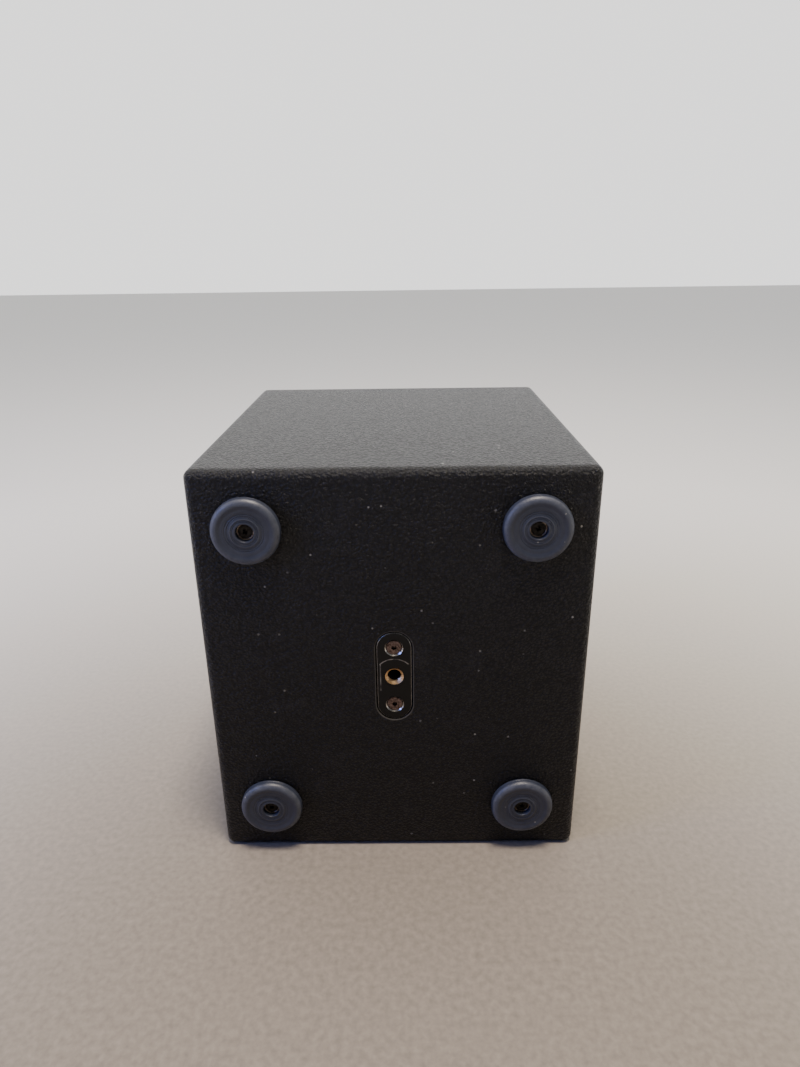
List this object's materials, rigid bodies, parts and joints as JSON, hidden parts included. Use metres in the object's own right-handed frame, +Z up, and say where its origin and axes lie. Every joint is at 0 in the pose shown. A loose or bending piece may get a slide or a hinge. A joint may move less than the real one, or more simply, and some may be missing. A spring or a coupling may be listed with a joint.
{
  "type": "subwoofer",
  "caption": "Compact bass-reflex subwoofer in a textured black cabinet with rounded edges, lying on a side panel, with rubber feet and a threaded pole fitting in its underside.",
  "frame": {"origin": "middle of the whole object's footprint, on the surface that it lies on", "axes": "The cabinet lies on one side panel: +Z up through the side panels, +X out of the loudspeaker front with the grille, +Y out of the cabinet's top panel, so its underside with the rubber feet faces -Y"},
  "size_m": [0.234, 0.257, 0.265],
  "materials": {
    "painted_plywood": "black structured paint, fine pebbled relief, satin",
    "birch_plywood": "raw birch plywood",
    "black_plywood": "plywood stained black",
    "foot_rubber": "moulded dark blue-grey rubber",
    "seal_rubber": "soft black rubber",
    "black_steel": "black satin coated steel",
    "zinc_steel": "zinc plated steel",
    "yellow_steel": "yellow passivated steel",
    "black_zinc": "black zinc plated steel",
    "black_plastic": "moulded black plastic",
    "open_foam": "open-cell foam",
    "cone_paper": "black coated paper pulp",
    "spider_cloth": "resin-treated cotton",
    "former_card": "brown card",
    "copper_wire": "enamelled copper winding",
    "ferrite": "sintered ferrite",
    "circuit_board": "green fibreglass board",
    "film_wrap": "yellow film wrap",
    "cable_sheath": "black sheath"
  },
  "bodies": {
    "cabinet": {"side_panel_lower": "painted_plywood", "side_panel_upper": "painted_plywood", "base_panel": "painted_plywood", "top_panel": "painted_plywood", "rear_panel": "painted_plywood", "brace": "birch_plywood", "front_baffle": "black_plywood", "grille_batten_lower": "black_plywood", "grille_batten_upper": "black_plywood", "foot_1": "foot_rubber", "foot_2": "foot_rubber", "foot_3": "foot_rubber", "foot_4": "foot_rubber", "surround": "seal_rubber", "woofer_gasket": "seal_rubber", "mounting_plate": "black_steel", "grille": "black_steel", "woofer_basket": "black_steel", "input_plate": "black_steel", "foot_screw_1": "zinc_steel", "foot_screw_2": "zinc_steel", "foot_screw_3": "zinc_steel", "foot_screw_4": "zinc_steel", "mounting_screw_1": "zinc_steel", "mounting_screw_2": "zinc_steel", "woofer_top_plate": "zinc_steel", "woofer_yoke": "zinc_steel", "foot_washer_1": "yellow_steel", "foot_washer_2": "yellow_steel", "foot_washer_3": "yellow_steel", "foot_washer_4": "yellow_steel", "grille_screw_1": "black_zinc", "grille_screw_2": "black_zinc", "grille_screw_3": "black_zinc", "grille_screw_4": "black_zinc", "woofer_screw_1": "black_zinc", "woofer_screw_2": "black_zinc", "woofer_screw_3": "black_zinc", "woofer_screw_4": "black_zinc", "input_screw_1": "black_zinc", "input_screw_2": "black_zinc", "input_screw_3": "black_zinc", "input_screw_4": "black_zinc", "port_tube_lower": "black_plastic", "port_tube_upper": "black_plastic", "terminal_block": "black_plastic", "input_socket_1": "black_plastic", "input_socket_2": "black_plastic", "grille_foam": "open_foam", "spider": "spider_cloth", "filter_coil": "copper_wire", "magnet": "ferrite", "filter_board": "circuit_board", "filter_capacitor": "film_wrap", "input_cable": "cable_sheath", "woofer_cable": "cable_sheath"},
    "cone_assembly": {"cone": "cone_paper", "dust_cap": "seal_rubber", "voice_coil_former": "former_card", "voice_coil": "copper_wire"}
  },
  "joints": [
    {"name": "cone_stroke", "type": "slide", "parent": "cabinet", "child": "cone_assembly", "axis": [1, 0, 0], "range_m": [-0.006, 0.006], "stiffness_N_per_m": 3300, "deforming": ["surround", "spider"]}
  ]
}
